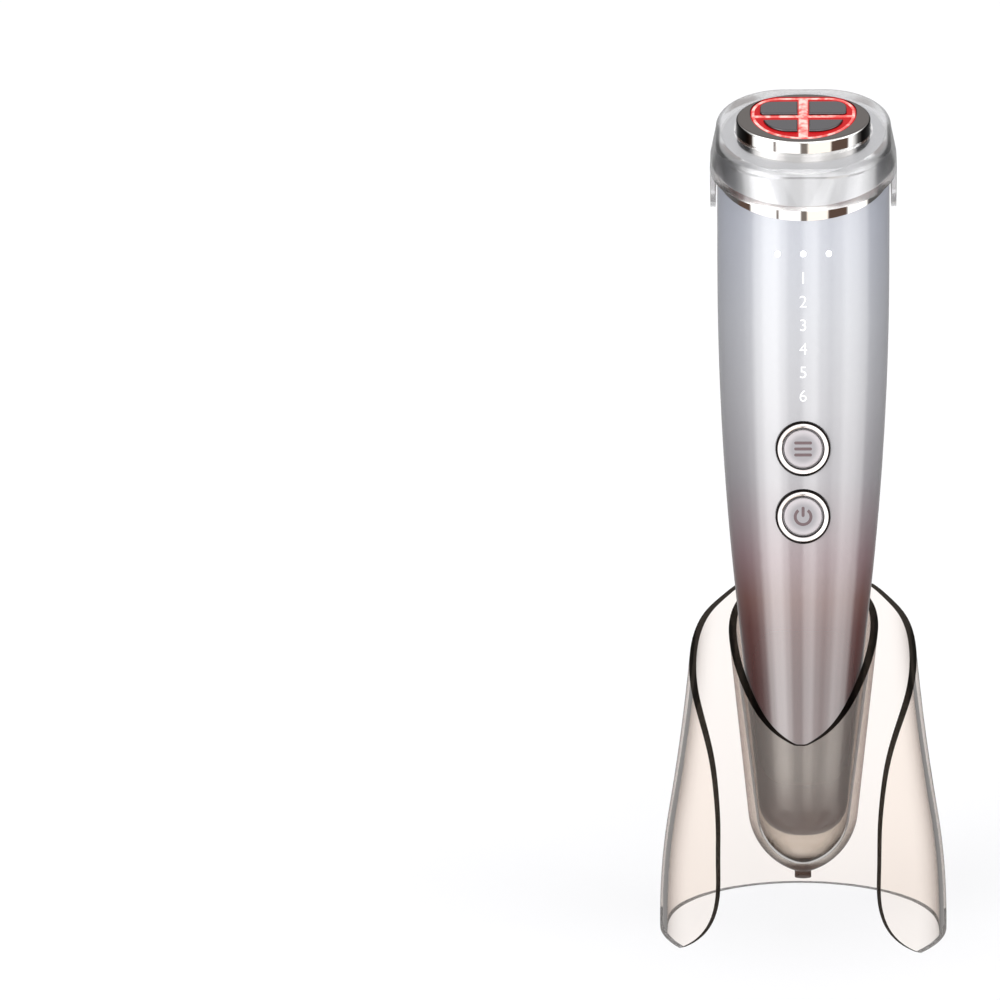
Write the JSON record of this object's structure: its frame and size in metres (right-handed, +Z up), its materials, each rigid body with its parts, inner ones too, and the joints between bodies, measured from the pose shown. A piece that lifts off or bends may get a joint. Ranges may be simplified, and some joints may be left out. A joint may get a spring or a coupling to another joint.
{
  "type": "face massager",
  "caption": "Tapered face massager with a tilted electrode head, clear pad ring and two buttons, leaning in the cup of a clear conical stand.",
  "frame": {"origin": "centre of the bounding box, on the surface that the stand rests on", "axes": "+Z up, -Y the front with the buttons, +X to the right seen from the front"},
  "size_m": [0.0732, 0.073, 0.2105],
  "materials": {
    "clear_stand": "clear, tinted",
    "lacquer": "metallic lacquer, silver fading to dark red",
    "chrome": "mirror",
    "silver": "satin",
    "dark_mirror": "dark mirror",
    "red_light": "lit red",
    "electrode": "dark satin",
    "clear_ring": "clear",
    "button": "satin silver",
    "white_light": "lit white",
    "board": "solder mask",
    "switch": "moulded",
    "frame": "moulded",
    "cell": "sleeved",
    "socket": "plated"
  },
  "bodies": {
    "stand": {"stand_skirt": "clear_stand", "stand_cup": "clear_stand"},
    "handset": {"barrel": "lacquer", "neck_ring": "chrome", "head_shell": "silver", "face_bezel": "dark_mirror", "light_guide": "red_light", "electrode_rear_left": "electrode", "electrode_rear_right": "electrode", "electrode_front_left": "electrode", "electrode_front_right": "electrode", "led_board": "board", "mode_bezel": "chrome", "power_bezel": "chrome", "mode_switch": "switch", "power_switch": "switch", "level_light_left": "white_light", "level_light_middle": "white_light", "level_light_right": "white_light", "inner_frame": "frame", "main_board": "board", "battery_cell": "cell", "charging_socket": "socket", "socket_board": "board"},
    "mode_button": {"mode_button": "button"},
    "power_button": {"power_button": "button"},
    "pad_ring": {"pad_ring": "clear_ring"}
  },
  "joints": [
    {"name": "handset_lift", "type": "slide", "parent": "stand", "child": "handset", "axis": [0, 0.1219, 0.9925], "range_m": [0, 0.1]},
    {"name": "mode_press", "type": "slide", "parent": "handset", "child": "mode_button", "axis": [0, 0.998, -0.0633], "range_m": [0, 0.0004], "stiffness_N_per_m": 400, "springref_m": -0.001},
    {"name": "power_press", "type": "slide", "parent": "handset", "child": "power_button", "axis": [0, 0.9992, -0.041], "range_m": [0, 0.0004], "stiffness_N_per_m": 400, "springref_m": -0.001},
    {"name": "pad_ring_pull", "type": "slide", "parent": "handset", "child": "pad_ring", "axis": [0, -0.3584, 0.9336], "range_m": [0, 0.03]}
  ]
}
